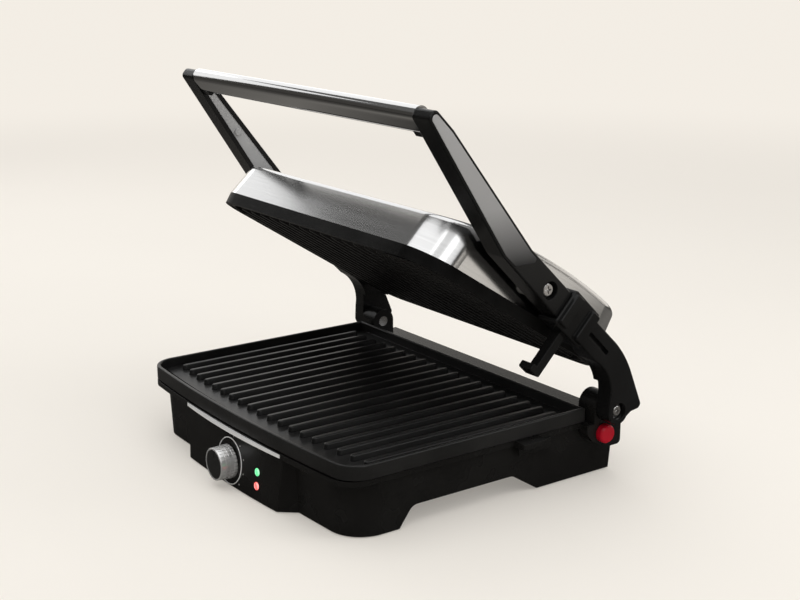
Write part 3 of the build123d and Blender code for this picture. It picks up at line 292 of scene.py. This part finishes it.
def ring_on_panel(name, x, z, radius, wire, slot_name):
    """A thin ring that lies on the panel round a knob or a lamp."""
    curve = bpy.data.curves.new(name, "CURVE")
    curve.dimensions = "3D"
    curve.bevel_depth = wire * MM
    curve.bevel_resolution = 3
    line = curve.splines.new("POLY")
    line.points.add(RING_POINTS - 1)
    for index, point in enumerate(line.points):
        angle = 2 * math.pi * index / RING_POINTS
        place = on_panel(x + radius * math.cos(angle), z + radius * math.sin(angle), wire * 0.3)
        point.co = (*place, 1)
    line.use_cyclic_u = True
    ring = bpy.data.objects.new(name, curve)
    scene.collection.objects.link(ring)
    ring.data.materials.append(materials[slot_name])
    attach(ring, "base")


def dial_marks():
    """Printed marks round the dial: short strokes at the top, dots down the right side."""
    verts = []
    faces = []
    for angle_deg, (length, width) in MARKS:
        angle = math.radians(angle_deg)
        out = (math.cos(angle), math.sin(angle))
        across = (-out[1], out[0])
        start = len(verts)
        for along, aside in ((0, -1), (1, -1), (1, 1), (0, 1)):
            reach = MARKS_RADIUS + along * length
            x = out[0] * reach + across[0] * aside * width / 2
            z = KNOB_Z + out[1] * reach + across[1] * aside * width / 2
            verts.append(on_panel(x, z, PRINT_PROUD))
        faces.append((start, start + 1, start + 2, start + 3))
    mesh = bpy.data.meshes.new("dial_marks")
    mesh.from_pydata(verts, [], faces)
    marks = bpy.data.objects.new("dial_marks", mesh)
    scene.collection.objects.link(marks)
    solid = marks.modifiers.new("thickness", "SOLIDIFY")
    solid.thickness = PRINT_THICKNESS * MM
    print_grey = plastic("dial_print", (0.38, 0.37, 0.36), (0.46, 0.45, 0.44), 0.6, relief=0.0)
    marks.data.materials.append(print_grey)
    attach(marks, "base")


ring_on_panel("dial_ring", 0, KNOB_Z, DIAL_RADIUS, DIAL_WIRE, "trim_chrome")
ring_on_panel("lamp_rim_green", LAMP_X, GREEN_LAMP_Z, LAMP_RIM_RADIUS, LAMP_RIM_WIRE, "lens_green")
ring_on_panel("lamp_rim_red", LAMP_X, RED_LAMP_Z, LAMP_RIM_RADIUS, LAMP_RIM_WIRE, "lens_red")
dial_marks()


# ---- floor and studio, in metres ----------------------------------------------------------------
BACKDROP = (0.995, 0.942, 0.865)
FLOOR_SIZE = 30
FLOOR_FADE = (0.5, 2.6)
# near the object and far off: the strength of the glow, and the share of it that is seen
FLOOR_GLOW = (0.92, 0.915)
FLOOR_SHARE = (0.30, 0.98)
# the floor and the sky as reflections find them
REFLECTED_SHARE = 0.95
REFLECTED_REACH = 5.0
DARK_FLOOR = 0.03
FRONT_FLOOR = (-1.4, -0.4)
FRONT_FLOOR_DIM = 0.04
PATCH_CENTRE = (0.96, 0.66, 0.0)
PATCH_EDGE = (0.50, 0.15)
PATCH_GLOW = 0.9
SKY_GLOW = 0.42
REFLECTED_SKY_GLOW = 0.14
BACKDROP_GLOW = 0.92
DARK_SIDE_GLOW = 0.06
# parts of a direction, from -1 to 1
BACKDROP_EDGE = (0.32, 0.24)
RIGHT_SIDE = (0.25, 0.65)
FRONT_SIDE = (-0.20, -0.45)


def pale_to_the_eye(tree, plain, glow, share=None):
    """Mix a plain shader with a share of a glow that only the camera, reflections and glass see."""
    rays = ray_kinds(tree)
    seen = rays["Is Camera Ray"]
    for kind in ("Is Glossy Ray", "Is Transmission Ray"):
        seen = combine(tree, "MAXIMUM", seen, rays[kind])
    if share is not None:
        seen = combine(tree, "MULTIPLY", seen, share)
    mix = tree.nodes.new("ShaderNodeMixShader")
    tree.links.new(seen, mix.inputs["Fac"])
    tree.links.new(plain, mix.inputs[1])
    tree.links.new(glow, mix.inputs[2])
    return mix.outputs["Shader"]


def in_reflections(tree, otherwise, reflected):
    """One value for most rays and another for reflections; either may be a number or a socket."""
    node = tree.nodes.new("ShaderNodeMix")
    tree.links.new(ray_kinds(tree)["Is Glossy Ray"], node.inputs["Factor"])
    for value, socket in ((otherwise, node.inputs["A"]), (reflected, node.inputs["B"])):
        if isinstance(value, float):
            socket.default_value = value
        else:
            tree.links.new(value, socket)
    return node.outputs["Result"]


def reflected_floor(tree, place, distance):
    """How pale the floor is in reflections: dark near and in front, pale far off and in one patch."""
    reach = map_range(tree, distance, (0.0, REFLECTED_REACH))
    dark = grey(DARK_FLOOR)
    rings = ramp(tree, reach, (0.05, dark), (0.10, grey(0.15)), (0.19, dark), (0.40, dark),
                 (0.9, grey(1.0)))
    front = map_range(tree, axes(tree, place)["Y"], FRONT_FLOOR, FRONT_FLOOR_DIM, 1.0)
    shaded = combine(tree, "MULTIPLY", rings, front)
    # the patch behind on the right lights the lid's right wall
    from_patch = distance_from(tree, place, PATCH_CENTRE)
    patch = map_range(tree, from_patch, PATCH_EDGE, 0.0, PATCH_GLOW, smooth=True)
    return combine(tree, "MAXIMUM", shaded, patch)


def studio_floor():
    """A floor that takes light and shadow near the object and fades into the backdrop far off."""
    bpy.ops.mesh.primitive_plane_add(size=FLOOR_SIZE, location=(0, 0, 0))
    floor = bpy.context.object
    floor.name = "floor"
    mat, tree, shader, place = new_material("floor")
    tone = two_tone(tree, noise(tree, place, 3), (0.89, 0.85, 0.79), (0.90, 0.86, 0.80))
    tree.links.new(tone, shader.inputs["Base Color"])
    shader.inputs["Roughness"].default_value = 0.9
    shader.inputs["Specular IOR Level"].default_value = 0.0
    distance = distance_from(tree, place, (0, 0, 0))
    far_off = map_range(tree, distance, FLOOR_FADE, smooth=True)
    dim = in_reflections(tree, 1.0, reflected_floor(tree, place, distance))
    strength = combine(tree, "MULTIPLY", spread(tree, far_off, *FLOOR_GLOW), dim)
    share = in_reflections(tree, spread(tree, far_off, *FLOOR_SHARE), REFLECTED_SHARE)
    glow = tree.nodes.new("ShaderNodeEmission")
    glow.inputs["Color"].default_value = (*BACKDROP, 1)
    tree.links.new(strength, glow.inputs["Strength"])
    surface = pale_to_the_eye(tree, shader.outputs["BSDF"], glow.outputs["Emission"], share)
    tree.links.new(surface, tree.nodes["Material Output"].inputs["Surface"])
    floor.data.materials.append(mat)


def studio_world():
    """A soft sky, and a pale backdrop low round the horizon that the camera and reflections see."""
    world = bpy.data.worlds.new("studio")
    scene.world = world
    world.use_nodes = True
    tree = world.node_tree
    sky = tree.nodes["Background"]
    sky.inputs["Color"].default_value = (0.93, 0.92, 0.90, 1)
    sky_glow = in_reflections(tree, SKY_GLOW, REFLECTED_SKY_GLOW)
    tree.links.new(sky_glow, sky.inputs["Strength"])
    coords = tree.nodes.new("ShaderNodeTexCoord")
    direction = axes(tree, coords.outputs["Generated"])
    # reflections find the studio dark on the right and on the camera's side
    right = map_range(tree, direction["X"], RIGHT_SIDE)
    front = map_range(tree, direction["Y"], FRONT_SIDE)
    dark_sides = combine(tree, "MAXIMUM", right, front)
    dark_part = combine(tree, "MULTIPLY", dark_sides, ray_kinds(tree)["Is Glossy Ray"])
    backdrop = tree.nodes.new("ShaderNodeBackground")
    backdrop.inputs["Color"].default_value = (*BACKDROP, 1)
    backdrop_glow = spread(tree, dark_part, BACKDROP_GLOW, DARK_SIDE_GLOW)
    tree.links.new(backdrop_glow, backdrop.inputs["Strength"])
    low_sky = tree.nodes.new("ShaderNodeMixShader")
    tree.links.new(map_range(tree, direction["Z"], BACKDROP_EDGE), low_sky.inputs["Fac"])
    tree.links.new(sky.outputs["Background"], low_sky.inputs[1])
    tree.links.new(backdrop.outputs["Background"], low_sky.inputs[2])
    surface = pale_to_the_eye(tree, sky.outputs["Background"], low_sky.outputs["Shader"])
    tree.links.new(surface, tree.nodes["World Output"].inputs["Surface"])


studio_floor()
studio_world()


# ---- lamps and camera ---------------------------------------------------------------------------
def soft_light(name, place, target, size, power):
    """A rectangular soft lamp that points at a target."""
    lamp_data = bpy.data.lights.new(name, "AREA")
    lamp_data.shape = "RECTANGLE"
    lamp_data.size, lamp_data.size_y = size
    lamp_data.energy = power
    light = bpy.data.objects.new(name, lamp_data)
    light.location = place
    light.rotation_euler = (Vector(target) - Vector(place)).to_track_quat("-Z", "Y").to_euler()
    scene.collection.objects.link(light)


soft_light("top_light", (0.15, -0.25, 1.9), (0.15, -0.1, 0.1), (2.6, 3.0), 28)
soft_light("left_light", (-1.52, -0.33, 0.74), (0, -0.05, 0.25), (0.9, 0.72), 2.05)
soft_light("low_right_light", (1.8, 0.15, 0.8), (0, 0, 0.15), (0.9, 0.9), 2.6)
soft_light("upper_right_light", (1.75, -0.15, 1.55), (0.1, -0.1, 0.2), (1.4, 1.4), 5.0)
soft_light("rear_left_light", (-1.5, 0.42, 1.12), (0, 0, 0.3), (1.3, 1.0), 4.4)
soft_light("right_light", (1.3, 1.2, 1.1), (0, 0, 0.15), (0.6, 1.2), 5)

CAMERA_PLACE = (0.9498, -0.6469, 0.4427)
CAMERA_BACK = (0.78403, -0.56466, 0.25798)
CAMERA_LENS = 62.8
CAMERA_SENSOR = 36.0
camera_data = bpy.data.cameras.new("camera")
camera_data.lens = CAMERA_LENS
camera_data.sensor_width = CAMERA_SENSOR
camera = bpy.data.objects.new("camera", camera_data)
camera.location = CAMERA_PLACE
camera.rotation_euler = Vector(CAMERA_BACK).to_track_quat("Z", "Y").to_euler()
scene.collection.objects.link(camera)
scene.camera = camera
scene.view_settings.view_transform = "Standard"
